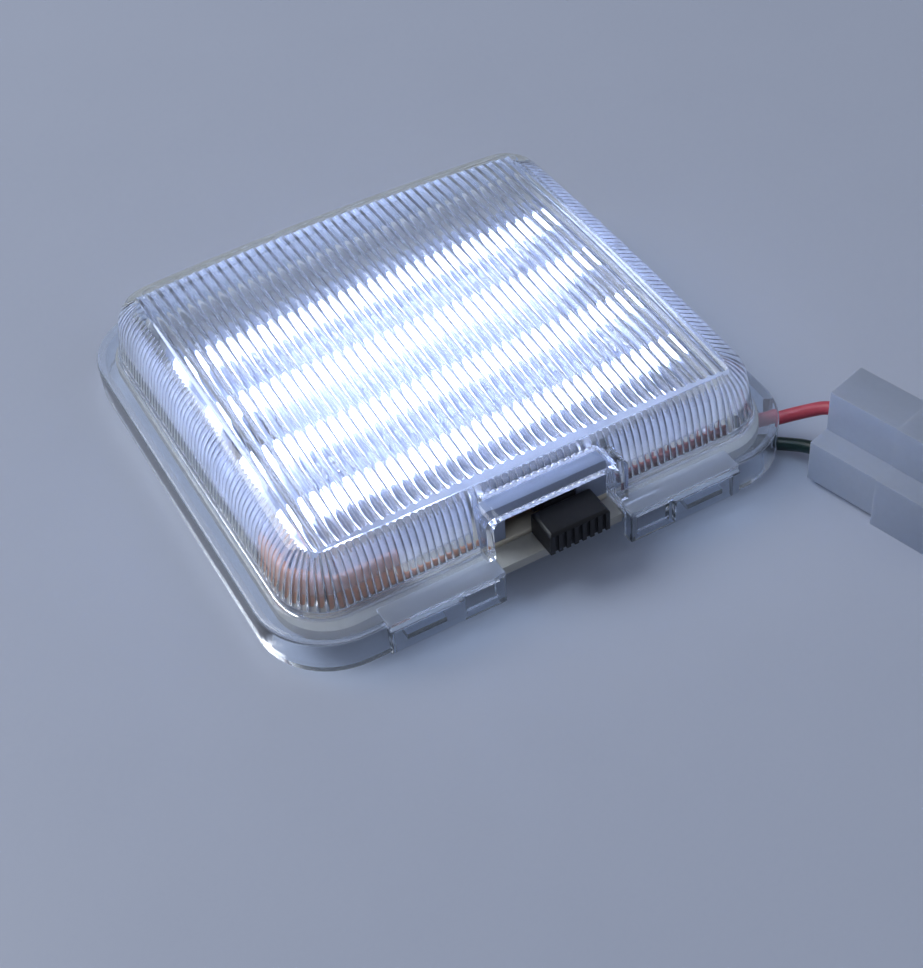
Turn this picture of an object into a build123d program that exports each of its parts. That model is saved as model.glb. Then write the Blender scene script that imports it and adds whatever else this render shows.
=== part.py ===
from build123d import *
import math
import os

# A car dome light: clear ribbed lens, cream base, LED board, slide switch and two leads.
# Millimetres. X runs along the front edge, Y to the back, Z up from the mounting face.

# Lens rim and flange
rim_width = 99.2
rim_depth = 95.5
rim_corner_radius = 13.4
rim_height = 6.8
rim_wall = 1.6
rim_lift = 2.0
rim_edge = 0.5
flange_thickness = 1.6
flange_side = 3.8
flange_front = 4.9
foot_edge = 0.6

# Lens dome
dome_corner_radius = 9.4
dome_rise = 14.75
dome_draft = 11.0
dome_edge_radius = 5.2
dome_wall = 2.2
crown_radius = 545.0
crown_wall = 1.6

# Upright ribs inside the dome wall
rib_depth = 0.3
rib_form = ((0.0, 0.0), (0.28, 1.0), (0.72, 1.0))
rib_start = 0.2
rib_shoulder = 6.0
rib_crest = 9.6
rib_count_front = 57
rib_count_side = 51
rib_count_corner = 8
crest_inset = 5.6

# Flutes under the crown, in bands that follow it
flute_side_margin = 6.6
flute_front_margin = 5.95
flute_count = 40
flute_depth = 0.45
band_pitch = 16.35
band_count = 4
back_band_line = 28.0

# Notch for the switch and the hood over it
notch_center = 0.7
notch_width = 24.0
hood_wall = 1.4
hood_proud = 2.35
hood_top = 18.7
hood_corner_radius = 1.8

# Clip blocks on both sides of the notch
block_length = 21.4
block_proud = 0.65
block_lift = 0.3
block_wall = 1.1
pad_length = 13.4
pad_proud = 0.9
pad_bottom_gap = 1.0
pad_top_gap = 0.5
window_bottom_gap = 1.3
window_height = 4.3

# Snap hooks that catch under the base plate
hook_length = 7.0
hook_catch = 0.7
hook_height = 1.0
hook_spacing = 44.0

# Base plate and the walls on it
fit_clearance = 0.2
plate_clearance = 2.0
ledge_clearance = 0.4
plate_thickness = 1.8
ring_clearance = 0.5
ring_wall = 1.2
ring_height = 3.9
back_wall_side_gap = 6.6
back_wall_front_gap = 6.75
back_wall_radius = 8.0
back_wall_thickness = 1.8

# Mounting holes
mount_inset = 9.3
mount_hole = 6.0
mount_boss = 10.6

# LED board on its posts
board_width = 72.8
board_front_gap = 3.0
board_center_y = 0.8
board_thickness = 1.6
board_notch = 8.4
post_height = 2.2
post_diameter = 5.0
post_spacing_x = 55.0
post_spacing_y = 30.6
screw_shank = 1.6
screw_depth = 3.4
screw_head = 3.8
screw_head_height = 1.0
screw_slot = 0.6
screw_slot_depth = 0.4

# LEDs and resistors
led_rows = 4
led_columns = 12
led_pitch_x = 6.2
led_pitch_y = 14.6
led_size = 4.4
led_height = 1.2
led_well = 3.7
led_well_sides = 12
led_well_depth = 0.3
resistor_columns = 4
resistor_pitch = 10.0
resistor_length = 3.2
resistor_width = 1.6
resistor_height = 0.6

# Slide switch
switch_end_gap = 0.4
switch_depth = 9.6
switch_setback = 1.55
terminal_board_thickness = 1.2
frame_height = 7.2
frame_wall = 1.4
slide_travel = 7.0
slide_clearance = 0.3
knob_offset = 2.4
knob_width = 11.4
knob_proud = 0.25
knob_height = 4.6
knob_lift = 0.4
knob_edge = 0.5
grip_count = 7
grip_pitch = 1.5
grip_width = 0.7
grip_depth = 0.45
stem_width = 6.0
stem_height = 3.0
carriage_length = 8.0
carriage_height = 3.6
carriage_lift = 1.1
contact_width = 4.0
contact_thickness = 0.4
contact_foot = 1.0
contact_gap = 0.2
terminal_diameter = 1.6
terminal_head = 2.4
terminal_head_height = 0.3
terminal_tail = 1.2
detent_width = 3.0
detent_thickness = 0.3
detent_bump = 0.5
detent_gap = 0.15
switch_rivet = 1.6
switch_rivet_head = 2.4
switch_rivet_head_height = 0.6

# Copper strips on the base
strip_thickness = 0.6
strip_foot_size = 3.4
strip_start_gap = 1.2
earth_strip_height = 1.0
earth_corner_cut = 4.4
earth_plate_height = 7.6
earth_plate_length = 11.0
earth_side_length = 9.0
earth_eyelet = 8.6
earth_link_gap = 0.5
earth_link_width = 3.0
door_strip_height = 2.0
door_strip_inset = 4.0
feed_strip_offset = 2.0
feed_strip_width = 3.0
lug_width = 2.0
strip_rivet = 1.4
strip_rivet_head = 2.4
strip_rivet_head_height = 0.5

# Leads: heights from the mounting face, places from the centre of the rim's front right corner
wire_diameter = 2.4
wire_lead_in = 6.6
red_start_place = (-9.2, 1.15, 3.3)
red_route_places = [(0.8, 1.15, 3.3), (10.4, -2.65, 3.0), (15.1, -7.05, 6.7)]
green_start_place = (-10.6, -2.05, 2.3)
green_route_places = [(-2.4, -2.05, 2.3), (5.6, -3.25, 1.4), (11.4, -7.05, 1.4)]
exit_angle = -27.0
exit_width = 7.0
exit_height = 5.0

# Connector on the leads
connector_offset = (15.2, -15.25)
connector_heading = -74.5
cell_width = 8.4
cell_height = 8.4
cell_offset = 4.4
cell_length = 14.0
collar_length = 14.0
collar_step = 1.0
cell_edge = 0.5
cavity_width = 7.0
cavity_height = 3.4
wire_hole = 3.6
wire_depth = 6.0
upper_wire_height = 11.8
lower_wire_height = 4.7
receptacle_width = 6.6
receptacle_height = 2.6
receptacle_length = 15.0
blade_slot = 1.0

# Sizes and levels that the pieces share
dome_width = rim_width - 2 * flange_side
dome_depth = rim_depth - 2 * flange_front
flute_width = dome_width - 2 * flute_side_margin
flute_length = dome_depth - 2 * flute_front_margin
hood_front = dome_depth / 2 + hood_proud
block_front = rim_depth / 2 + block_proud
switch_length = notch_width - 2 * switch_end_gap
switch_front = dome_depth / 2 - switch_setback
board_depth = 2 * (board_center_y + switch_front - (switch_depth + board_front_gap))
mount_spacing = dome_width - 2 * mount_inset
knob_center = notch_center + knob_offset
knob_front = rim_depth / 2 + knob_proud
flange_top = rim_lift + rim_height
flange_under = flange_top - flange_thickness
plate_top = flange_under - fit_clearance
plate_under = plate_top - plate_thickness
plate_inset = rim_wall + plate_clearance
board_under = plate_top + post_height
board_top = board_under + board_thickness
apex = flange_top + dome_rise
lean = math.tan(math.radians(dome_draft))
notch_left = notch_center - notch_width / 2
notch_right = notch_center + notch_width / 2
rim_corner = (rim_width / 2 - rim_corner_radius, -rim_depth / 2 + rim_corner_radius)
ring_inset = dome_wall + ring_height * lean + ring_clearance
strip_inset = dome_wall + earth_plate_height * lean + ring_clearance


def from_corner(place):
    """Point given from the centre of the rim's front right corner."""
    return (rim_corner[0] + place[0], rim_corner[1] + place[1]) + tuple(place[2:])


red_start = from_corner(red_start_place)
red_route = [from_corner(place) for place in red_route_places]
green_start = from_corner(green_start_place)
green_route = [from_corner(place) for place in green_route_places]
connector_corner = from_corner(connector_offset)
feed_strip_x = red_start[0] + feed_strip_offset
earth_corner_x = dome_width / 2 - strip_inset
door_strip_end = dome_width / 2 - strip_inset - door_strip_inset


def block_between(low, high):
    """Box from its lowest to its highest corner."""
    size = [b - a for a, b in zip(low, high)]
    middle = [(a + b) / 2 for a, b in zip(low, high)]
    return Pos(*middle) * Box(*size)


def rounded_block(width, depth, radius, bottom, top):
    """Upright block with rounded corners, centred on the lamp's axis."""
    return extrude(Pos(0, 0, bottom) * RectangleRounded(width, depth, radius), top - bottom)


def upright_rod(x, y, diameter, bottom, top):
    """Upright round rod."""
    return Pos(x, y, (bottom + top) / 2) * Cylinder(diameter / 2, top - bottom)


def rib_chain(points, inward):
    """Points of a row of ribs, each rising from its valley points by the rib's form along inward."""
    chain = []
    for start, end in zip(points, points[1:]):
        rise = inward((end - start).normalized())
        chain += [start + (end - start) * along + rise * up for along, up in rib_form]
    return chain


def ribbed_section(half_width, half_depth, radius, height):
    """Face of the dome's inside at one height, with a rib bulging inward between valley points."""
    points = []
    counts = (rib_count_side, rib_count_front, rib_count_side, rib_count_front)
    for quarter, count in enumerate(counts):
        turn = math.radians(90 * quarter)
        across = half_width if quarter % 2 == 0 else half_depth
        along = (half_depth if quarter % 2 == 0 else half_width) - radius
        for step in range(count):
            points.append(Vector(across, -along + 2 * along * step / count, 0).rotate(Axis.Z, 90 * quarter))
        for step in range(rib_count_corner):
            angle = math.radians(90) * step / rib_count_corner
            corner = Vector(across - radius + radius * math.cos(angle), along + radius * math.sin(angle), 0)
            points.append(corner.rotate(Axis.Z, math.degrees(turn)))
    points = [point + Vector(0, 0, height) for point in points]
    outline = rib_chain(points + points[:1], lambda chord: chord.rotate(Axis.Z, 90) * rib_depth)
    return Face(Wire.make_polygon(outline))


def wall_core():
    """Room inside the dome wall: smooth at the foot, ribbed above it, drawn in at the shoulder."""
    def section(level, inset):
        return ribbed_section(dome_width / 2 - inset, dome_depth / 2 - inset, dome_corner_radius - inset,
                              flange_top + level)

    inset = dome_wall + rib_start * lean
    shoulder = section(rib_shoulder, dome_wall + rib_shoulder * lean)
    ribs = loft([section(rib_start, inset), shoulder, section(rib_crest, crest_inset)], ruled=True)
    foot = rounded_block(dome_width - 2 * inset, dome_depth - 2 * inset, dome_corner_radius - inset,
                         flange_under, flange_top + rib_start)
    return ribs + foot


def flute_core():
    """Room under the crown: bands of flutes that follow its curve along and across."""
    def height(x, y):
        return apex - crown_wall - (x * x + y * y) / (2 * crown_radius)

    lines = [back_band_line - band_pitch * step for step in range(band_count)]
    breaks = [flute_length / 2] + lines + [-flute_length / 2]
    pitch = flute_width / flute_count
    floor = flange_top + rib_crest - crown_wall
    bands = []
    for back, front in zip(breaks, breaks[1:]):
        places = [-flute_width / 2 + pitch * step for step in range(flute_count + 1)]
        points = [Vector(x, front, height(x, front)) for x in places]
        outline = rib_chain(points, lambda chord: Vector(0, 0, -flute_depth))
        outline += [points[-1], Vector(points[-1].X, front, floor), Vector(points[0].X, front, floor)]
        run = Vector(0, back - front, height(0, back) - height(0, front))
        bands.append(extrude(Face(Wire.make_polygon(outline)), run.length, dir=run.normalized()))
    return bands[0] + bands[1:]


def clip_block(side):
    """Solid of one clip block beside the notch, and what is cut from it; side is -1 left, 1 right."""
    edge = notch_left if side < 0 else notch_right

    def span(near, far):
        return sorted((edge + side * near, edge + side * far))

    low, high = span(0, block_length)
    body = block_between((low, -block_front, rim_lift),
                         (high, -hood_front + block_wall, flange_top + block_lift))
    pad_low, pad_high = span(block_length - pad_length, block_length)
    pad = block_between((pad_low, -block_front - pad_proud, rim_lift + pad_bottom_gap),
                        (pad_high, -block_front + block_wall, flange_top - pad_top_gap))
    pad = chamfer(pad.faces().sort_by(Axis.Y)[0].edges(), pad_proud / 2)
    room_low, room_high = span(block_wall, block_length - block_wall)
    room = block_between((room_low, -block_front + block_wall, 0),
                         (room_high, -hood_front + rim_wall, flange_under))
    window_low, window_high = span(block_wall, block_length - pad_length - block_wall / 2)
    window_bottom = rim_lift + window_bottom_gap
    window = block_between((window_low, -block_front - pad_proud, window_bottom),
                           (window_high, -hood_front, window_bottom + window_height))
    return body + pad, room + window


def wire_exit(reach, bottom, top):
    """Cut for the leads through a wall at the front right corner."""
    cut = block_between((0, -exit_width / 2, bottom), (reach, exit_width / 2, top))
    return Pos(*rim_corner) * Rot(0, 0, exit_angle) * cut


def on_dome_foot(edge):
    """Whether an edge lies on the line where the dome meets the flange."""
    place = edge.center()
    inside = abs(place.X) <= dome_width / 2 + fit_clearance and abs(place.Y) <= dome_depth / 2 + fit_clearance
    return inside and abs(place.Z - flange_top) < fit_clearance


def make_hooks():
    """Snap hooks from the rim's back wall and the clip blocks' front walls in under the base plate."""
    top = plate_under - fit_clearance
    tip = rim_depth / 2 - plate_inset - hook_catch
    hooks = []
    for x in (-hook_spacing / 2, hook_spacing / 2):
        hooks.append(block_between((x - hook_length / 2, tip, top - hook_height),
                                   (x + hook_length / 2, rim_depth / 2 - rim_wall / 2, top)))
    for x in (notch_left - block_length + pad_length / 2, notch_right + block_length - pad_length / 2):
        hooks.append(block_between((x - hook_length / 2, -block_front + block_wall / 2, top - hook_height),
                                   (x + hook_length / 2, -tip, top)))
    return hooks


def make_lens_cover():
    """Clear lens in one moulding: dome, flange, rim, switch hood and clip blocks."""
    dome = extrude(Pos(0, 0, flange_top) * RectangleRounded(dome_width, dome_depth, dome_corner_radius),
                   dome_rise + dome_edge_radius, taper=dome_draft)
    dome &= Pos(0, 0, apex - crown_radius) * Sphere(crown_radius)
    dome = fillet(dome.faces().sort_by(Axis.Z)[-1].edges(), dome_edge_radius)
    rim = rounded_block(rim_width, rim_depth, rim_corner_radius, rim_lift, flange_top)
    rim = chamfer(rim.faces().sort_by(Axis.Z)[-1].edges(), rim_edge)
    hood = block_between((notch_left - hood_wall, -hood_front, flange_under),
                         (notch_right + hood_wall, -dome_depth / 2 + dome_edge_radius, hood_top))
    hood_edges = hood.edges().filter_by(Axis.Y).group_by(Axis.Z)[-1]
    hood = fillet(hood_edges, hood_corner_radius)
    left_block, left_cut = clip_block(-1)
    right_block, right_cut = clip_block(1)
    lens = dome + rim
    foot_edges = [edge for edge in lens.edges() if on_dome_foot(edge)]
    lens = chamfer(foot_edges, foot_edge)
    lens += hood + left_block + right_block
    lens -= rounded_block(rim_width - 2 * rim_wall, rim_depth - 2 * rim_wall, rim_corner_radius - rim_wall,
                          0, flange_under)
    lens -= left_cut + right_cut
    lens -= wall_core() + flute_core()
    opening = block_between((notch_left, -rim_depth, 0), (notch_right, -dome_depth / 2 + dome_edge_radius,
                                                          hood_top - hood_wall))
    top_edges = opening.edges().filter_by(Axis.Y).group_by(Axis.Z)[-1]
    lens -= fillet(top_edges, hood_corner_radius)
    lens -= wire_exit(rim_width, 0, rim_lift + exit_height)
    return lens + make_hooks()


def ring(width, depth, radius, wall, bottom, top):
    """Upright wall that runs round a rounded rectangle."""
    outer = rounded_block(width, depth, radius, bottom, top)
    return outer - rounded_block(width - 2 * wall, depth - 2 * wall, radius - wall, bottom, top)


def post_places():
    """Places of the board's posts and screws."""
    return [(x, board_center_y + y) for x in (-post_spacing_x / 2, post_spacing_x / 2)
            for y in (-post_spacing_y / 2, post_spacing_y / 2)]


def mount_places():
    """Places of the two mounting holes."""
    return [(-mount_spacing / 2, 0), (mount_spacing / 2, 0)]


def switch_rivet_places():
    """Places of the two rivets through the ends of the switch."""
    reach = switch_length / 2 - frame_wall
    return [(notch_center + side * reach, -switch_front + switch_depth / 2) for side in (-1, 1)]


def terminal_places():
    """Places of the three fixed contacts under the switch's carriage."""
    middle = knob_center - slide_travel / 2
    return [(middle + step * slide_travel / 2, -switch_front + switch_depth / 2) for step in (-1, 0, 1)]


def strip_line():
    """Y of the outer face of the copper strips that stand behind the dome's front wall."""
    return -dome_depth / 2 + strip_inset


def earth_side_end():
    """Y of the back end of the earth strip on the left side."""
    return strip_line() + earth_corner_cut + earth_side_length


def strip_rivet_places():
    """Places of the rivets through the flat feet of the copper strips."""
    foot_y = strip_line() + strip_thickness + strip_foot_size / 2
    return [(earth_plate_length - earth_corner_x, foot_y), (door_strip_end - strip_foot_size, foot_y),
            (feed_strip_x, red_start[1] + wire_diameter)]


def make_base_housing():
    """Cream base: plate with a ledge in the notch, locating ring, back wall, bosses and posts."""
    base = rounded_block(rim_width - 2 * plate_inset, rim_depth - 2 * plate_inset,
                         rim_corner_radius - plate_inset, plate_under, plate_top)
    ledge_front = -rim_depth / 2 + rim_wall + ledge_clearance
    base += block_between((notch_left + fit_clearance, ledge_front, plate_under),
                          (notch_right - fit_clearance, -dome_depth / 2, plate_top))
    locating = ring(dome_width - 2 * ring_inset, dome_depth - 2 * ring_inset, dome_corner_radius - ring_inset,
                    ring_wall, plate_top, plate_top + ring_height)
    room_right = door_strip_end + ring_clearance
    room_back = earth_side_end() + ring_clearance
    base += locating - block_between((-rim_width, -rim_depth, plate_top),
                                     (room_right, room_back, plate_top + ring_height))
    base += ring(rim_width - 2 * back_wall_side_gap, rim_depth - 2 * back_wall_front_gap, back_wall_radius,
                 back_wall_thickness, 0, plate_under)
    for x, y in mount_places():
        base += upright_rod(x, y, mount_boss, 0, plate_top)
    for x, y in post_places():
        base += upright_rod(x, y, post_diameter, plate_top, board_under)
    for x, y in mount_places():
        base -= upright_rod(x, y, mount_hole, 0, plate_top)
    for x, y in post_places():
        base -= upright_rod(x, y, screw_shank, board_under - screw_depth + board_thickness, board_under)
    for x, y in switch_rivet_places():
        base -= upright_rod(x, y, switch_rivet, plate_under, plate_top)
    for x, y in terminal_places():
        base -= upright_rod(x, y, terminal_head + 2 * fit_clearance, plate_under, plate_top)
    for x, y in strip_rivet_places():
        base -= upright_rod(x, y, strip_rivet, plate_under, plate_top)
    for x, y, z in (red_start, green_start):
        slot = strip_thickness + fit_clearance
        base -= block_between((x - slot, y - lug_width / 2 - fit_clearance, plate_under),
                              (x + fit_clearance, y + lug_width / 2 + fit_clearance, plate_top))
    return base - wire_exit(rim_width, 0, plate_under)


def make_led_board():
    """Board that carries the LEDs, with a hole over each post and a notch over each mounting hole."""
    half_width = board_width / 2
    board = block_between((-half_width, board_center_y - board_depth / 2, board_under),
                          (half_width, board_center_y + board_depth / 2, board_top))
    board = fillet(board.edges().filter_by(Axis.Z), screw_shank)
    for x, y in post_places():
        board -= upright_rod(x, y, screw_shank + fit_clearance, board_under, board_top)
    for x, y in mount_places():
        board -= upright_rod(x, y, board_notch, board_under, board_top)
    return board


def make_leds():
    """Rows of LEDs, each with a shallow round well for its phosphor."""
    body = Box(led_size, led_size, led_height)
    body -= Pos(0, 0, led_height / 2) * extrude(RegularPolygon(led_well / 2, led_well_sides), -led_well_depth)
    leds = []
    for row in range(led_rows):
        for column in range(led_columns):
            x = (column - (led_columns - 1) / 2) * led_pitch_x
            y = board_center_y + (row - (led_rows - 1) / 2) * led_pitch_y
            leds.append(Pos(x, y, board_top + led_height / 2) * body)
    return leds


def make_resistors():
    """Series resistors between the LED rows."""
    resistors = []
    for row in range(led_rows - 1):
        for column in range(resistor_columns):
            x = (column - (resistor_columns - 1) / 2) * resistor_pitch
            y = board_center_y + (row - (led_rows - 2) / 2) * led_pitch_y
            body = Box(resistor_length, resistor_width, resistor_height)
            resistors.append(Pos(x, y, board_top + resistor_height / 2) * body)
    return resistors


def make_board_screws():
    """Screws through the board into its posts, each with a slotted head."""
    screws = []
    for x, y in post_places():
        head_top = board_top + screw_head_height
        screw = upright_rod(x, y, screw_head, board_top, head_top)
        screw += upright_rod(x, y, screw_shank, board_top - screw_depth, board_top)
        slot = Box(screw_head, screw_slot, 2 * screw_slot_depth)
        screws.append(screw - Pos(x, y, head_top) * slot)
    return screws


def lug(start):
    """Solder lug that comes down through the plate to the end of a lead."""
    x, y, z = start
    return block_between((x - strip_thickness, y - lug_width / 2, z - wire_diameter / 2),
                         (x, y + lug_width / 2, plate_top + strip_thickness))


def upright_strip(x_low, x_high, height):
    """Copper strip on edge along the front wall."""
    front = strip_line()
    return block_between((x_low, front, plate_top), (x_high, front + strip_thickness, plate_top + height))


def strip_foot(place):
    """Flat foot behind a strip, without its rivet hole."""
    x, y = place
    return block_between((x - strip_foot_size / 2, strip_line(), plate_top),
                         (x + strip_foot_size / 2, y + strip_foot_size / 2, plate_top + strip_thickness))


def strip_hole(place, diameter):
    """Hole through a strip that lies flat on the plate."""
    return upright_rod(*place, diameter, plate_top, plate_top + strip_thickness)


def make_earth_strip():
    """Copper strip from the switch to the tall earth plate round the front left corner."""
    front = strip_line()
    switch_end = notch_center - switch_length / 2 - strip_start_gap
    turn_x = earth_corner_cut - earth_corner_x
    turn_y = front + earth_corner_cut
    corner = Polyline((turn_x + earth_plate_length, front), (turn_x, front), (-earth_corner_x, turn_y),
                      (-earth_corner_x, earth_side_end()))
    inner = offset(corner, strip_thickness, side=Side.RIGHT, closed=True)
    plate = extrude(Pos(0, 0, plate_top) * make_face(inner), earth_plate_height)
    strip = upright_strip(turn_x, switch_end, earth_strip_height) + plate
    foot = strip_rivet_places()[0]
    strip += strip_foot(foot)
    return strip - strip_hole(foot, strip_rivet)


def make_earth_link():
    """Plated link on the plate from the earth plate's side to the eyelet round the left mounting hole."""
    low = ring_inset + ring_wall + earth_link_gap - dome_width / 2
    high = low + earth_link_width
    start = strip_line() + earth_corner_cut + strip_thickness
    hole = mount_places()[0]
    link = block_between((strip_thickness - earth_corner_x, start, plate_top),
                         (high, earth_side_end(), plate_top + strip_thickness))
    link += block_between((low, start, plate_top), (high, hole[1], plate_top + strip_thickness))
    link += strip_hole(hole, earth_eyelet)
    return link - strip_hole(hole, mount_hole)


def make_door_strip():
    """Copper strip along the front right wall from the switch to the green lead's lug."""
    front = strip_line()
    switch_end = notch_center + switch_length / 2 + strip_start_gap
    strip = upright_strip(switch_end, door_strip_end, door_strip_height)
    x, y, z = green_start
    strip += block_between((x - lug_width, front, plate_top),
                           (x, y + lug_width / 2, plate_top + strip_thickness))
    strip += lug(green_start)
    foot = strip_rivet_places()[1]
    return strip + strip_foot(foot) - strip_hole(foot, strip_rivet)


def make_feed_strip():
    """Copper strip from the red lead's lug up to the underside of the board."""
    x, y, z = red_start
    low = x - strip_thickness
    board_front = board_center_y - board_depth / 2
    end = board_front + feed_strip_width
    strip = block_between((low, y - lug_width / 2, plate_top), (feed_strip_x + feed_strip_width / 2, end,
                                                              plate_top + strip_thickness))
    strip += block_between((low, end - strip_thickness, plate_top),
                           (feed_strip_x + feed_strip_width / 2, end, board_under))
    strip += lug(red_start)
    return strip - strip_hole(strip_rivet_places()[2], strip_rivet)


def make_strip_rivets():
    """Rivets that hold the strips' feet to the plate."""
    rivets = []
    for x, y in strip_rivet_places():
        seat = plate_top + strip_thickness
        rivet = upright_rod(x, y, strip_rivet_head, seat, seat + strip_rivet_head_height)
        rivet += upright_rod(x, y, strip_rivet, plate_under, seat)
        rivet += upright_rod(x, y, strip_rivet_head, plate_under - strip_rivet_head_height, plate_under)
        rivets.append(rivet)
    return rivets


def make_terminal_board():
    """Insulating plate under the switch, drilled for its contacts and rivets."""
    low = (notch_center - switch_length / 2, -switch_front, plate_top)
    high = (notch_center + switch_length / 2, -switch_front + switch_depth,
            plate_top + terminal_board_thickness)
    plate = block_between(low, high)
    for x, y in terminal_places():
        plate -= upright_rod(x, y, terminal_diameter, low[2], high[2])
    for x, y in switch_rivet_places():
        plate -= upright_rod(x, y, switch_rivet, low[2], high[2])
    return plate


def make_switch_terminals():
    """Fixed contacts: round heads on the insulating plate, shanks through it and flat tails."""
    seat = plate_top + terminal_board_thickness
    terminals = []
    for x, y in terminal_places():
        terminal = upright_rod(x, y, terminal_head, seat, seat + terminal_head_height)
        terminal += upright_rod(x, y, terminal_diameter, plate_top - terminal_head_height, seat)
        terminal += upright_rod(x, y, terminal_head, plate_top - terminal_head_height, plate_top)
        terminal += block_between((x - terminal_tail / 2, y - terminal_tail / 4, plate_under - terminal_tail),
                                  (x + terminal_tail / 2, y + terminal_tail / 4, plate_top))
        terminals.append(terminal)
    return terminals


def carriage_level():
    """Height of the carriage's underside."""
    return plate_top + terminal_board_thickness + carriage_lift


def carriage_span():
    """Front and back of the carriage inside the switch frame."""
    front = -switch_front + frame_wall + slide_clearance
    back = -switch_front + switch_depth - frame_wall - slide_clearance
    return front, back


def make_switch_frame():
    """Guide of the slide switch: a channel open below, with a slot for the stem in front."""
    bottom = plate_top + terminal_board_thickness
    top = bottom + frame_height
    back = -switch_front + switch_depth
    frame = block_between((notch_center - switch_length / 2, -switch_front, bottom),
                          (notch_center + switch_length / 2, back, top))
    reach = carriage_length / 2 + slide_clearance
    ceiling = carriage_level() + carriage_height + detent_gap + detent_bump + detent_thickness
    frame -= block_between((knob_center - slide_travel - reach, -switch_front + frame_wall, bottom),
                           (knob_center + reach, back - frame_wall, ceiling))
    slot_reach = stem_width / 2 + slide_clearance
    frame -= block_between((knob_center - slide_travel - slot_reach, -switch_front, bottom),
                           (knob_center + slot_reach, -switch_front + frame_wall,
                            carriage_level() + stem_height + slide_clearance))
    for x, y in switch_rivet_places():
        frame -= upright_rod(x, y, switch_rivet, bottom, top)
    return frame


def make_switch_rivets():
    """Rivets through the switch frame, its insulating plate and the base plate."""
    top = plate_top + terminal_board_thickness + frame_height
    rivets = []
    for x, y in switch_rivet_places():
        rivet = upright_rod(x, y, switch_rivet_head, top, top + switch_rivet_head_height)
        rivet += upright_rod(x, y, switch_rivet, plate_under, top)
        rivet += upright_rod(x, y, switch_rivet_head, plate_under - switch_rivet_head_height, plate_under)
        rivets.append(rivet)
    return rivets


def make_switch_knob():
    """Slide knob: ridged grip over the base's ledge, stem through the slot, carriage in the frame."""
    bottom = plate_top + knob_lift
    back = -switch_front - slide_clearance
    grip = block_between((knob_center - knob_width / 2, -knob_front, bottom),
                         (knob_center + knob_width / 2, back, bottom + knob_height))
    grip = chamfer(grip.edges().group_by(Axis.Z)[-1], knob_edge)
    for step in range(grip_count):
        low = knob_center + (step - (grip_count - 1) / 2) * grip_pitch - grip_width / 2
        grip -= block_between((low, -knob_front, bottom),
                              (low + grip_width, -knob_front + grip_depth, bottom + knob_height - knob_edge))
    front, rear = carriage_span()
    level = carriage_level()
    stem = block_between((knob_center - stem_width / 2, back, level),
                         (knob_center + stem_width / 2, front, level + stem_height))
    carriage = block_between((knob_center - carriage_length / 2, front, level),
                             (knob_center + carriage_length / 2, rear, level + carriage_height))
    return grip + stem + carriage


def make_slider_contact():
    """Bridge under the carriage with two feet that run just above the fixed contacts."""
    level = carriage_level()
    y = terminal_places()[0][1]
    reach = slide_travel / 2
    span = contact_width / 2
    contact = block_between((knob_center - reach / 2 - contact_foot, y - span, level - contact_thickness),
                            (knob_center + contact_foot, y + span, level))
    foot_bottom = plate_top + terminal_board_thickness + terminal_head_height + contact_gap
    for x in (knob_center - reach / 2 - contact_foot / 2, knob_center + contact_foot / 2):
        contact += block_between((x - contact_foot / 2, y - span / 2, foot_bottom),
                                 (x + contact_foot / 2, y + span / 2, level))
    return contact


def make_detent_spring():
    """Leaf spring under the frame's ceiling with a bump over the carriage."""
    front, rear = carriage_span()
    y = (front + rear) / 2
    bump_level = carriage_level() + carriage_height + detent_gap + detent_bump
    reach = carriage_length / 2
    leaf = block_between((knob_center - slide_travel - reach, y - detent_width / 2, bump_level),
                         (knob_center + reach, y + detent_width / 2, bump_level + detent_thickness))
    bump = Rot(90, 0, 0) * Cylinder(detent_bump, detent_width)
    bump = Pos(knob_center - slide_travel / 2, y, bump_level) * bump
    above = block_between((-rim_width, -rim_depth, bump_level), (rim_width, rim_depth, apex))
    return leaf + (bump - above)


def connector_place():
    """Frame of the connector: x along its length, z up."""
    return Pos(*connector_corner) * Rot(0, 0, connector_heading)


def connector_cells():
    """Each cell's lowest corner across and up, and the height of its lead."""
    lower = (-cell_offset, collar_step, lower_wire_height)
    upper = (0, collar_step + cell_height, upper_wire_height)
    return [lower, upper]


def wire_end(cell):
    """Last two points of a lead: on the axis of its cell, the last one where it meets its receptacle."""
    across, bottom, height = cell
    depths = (wire_depth - wire_lead_in, wire_depth)
    return [(connector_place() * Pos(depth, across + cell_width / 2, height)).position for depth in depths]


def make_connector_housing():
    """Stepped two-cell housing with a collar round its mating end."""
    body = Part()
    for across, bottom, height in connector_cells():
        body += block_between((0, across, bottom), (cell_length, across + cell_width, bottom + cell_height))
        body += block_between((cell_length, across - collar_step, bottom - collar_step),
                              (cell_length + collar_length, across + cell_width + collar_step,
                               bottom + cell_height + collar_step))
    end_edges = body.faces().sort_by(Axis.X)[-1].edges()
    body = chamfer(end_edges, cell_edge)
    for across, bottom, height in connector_cells():
        middle = across + cell_width / 2
        floor = height - receptacle_height / 2
        body -= Pos(0, middle, height) * Rot(0, 90, 0) * Cylinder(wire_hole / 2, 2 * wire_depth)
        near, far = middle - cavity_width / 2, middle + cavity_width / 2
        body -= block_between((wire_depth, near, floor),
                              (wire_depth + receptacle_length, far, floor + cavity_height))
        body -= block_between((wire_depth, near, height - blade_slot / 2),
                              (cell_length + collar_length, far, height + blade_slot / 2))
    return connector_place() * body


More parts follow.
